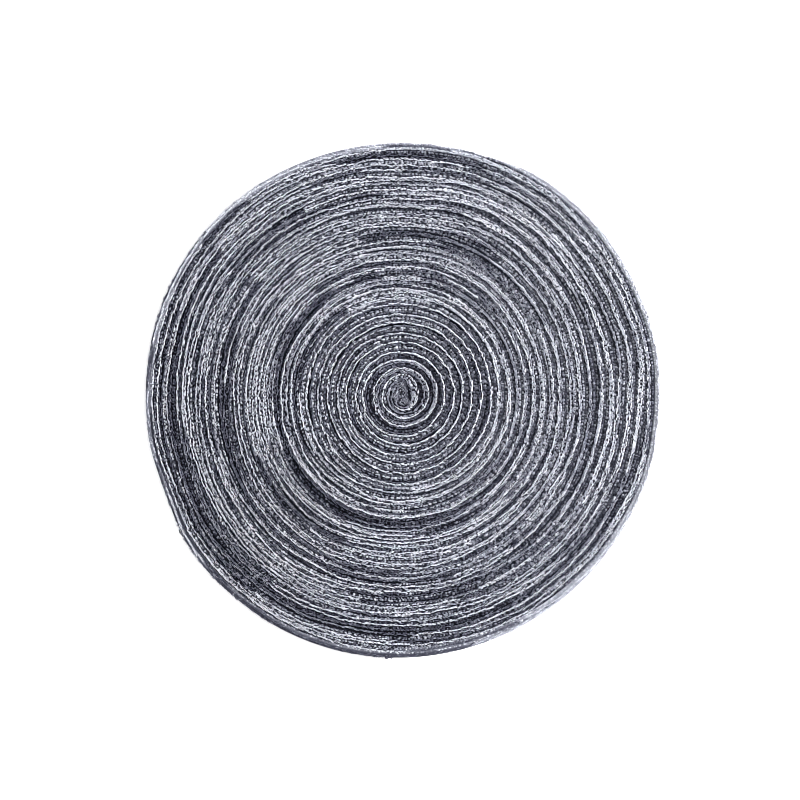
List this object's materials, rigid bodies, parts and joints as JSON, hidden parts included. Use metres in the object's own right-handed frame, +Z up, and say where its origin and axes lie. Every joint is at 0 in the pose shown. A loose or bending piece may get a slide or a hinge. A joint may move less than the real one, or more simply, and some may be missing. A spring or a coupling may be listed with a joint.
{
  "type": "fabric placemat",
  "caption": "Round flat placemat of a knitted tape wound in a spiral and sewn turn to turn, in mottled charcoal, grey and white yarn.",
  "frame": {"origin": "middle of the mat's footprint, on the surface it lies on", "axes": "+Z up, out of the mat's face; +Y towards the side of the rim where the tape's outer end is sewn down, which is the top of the picture; +X to the picture's right"},
  "size_m": [0.3794, 0.3796, 0.0034],
  "materials": {
    "yarn": "matt knitted yarn, space-dyed charcoal, mid grey and bluish white"
  },
  "bodies": {
    "root": {"spiral_mat": "yarn"}
  },
  "joints": []
}
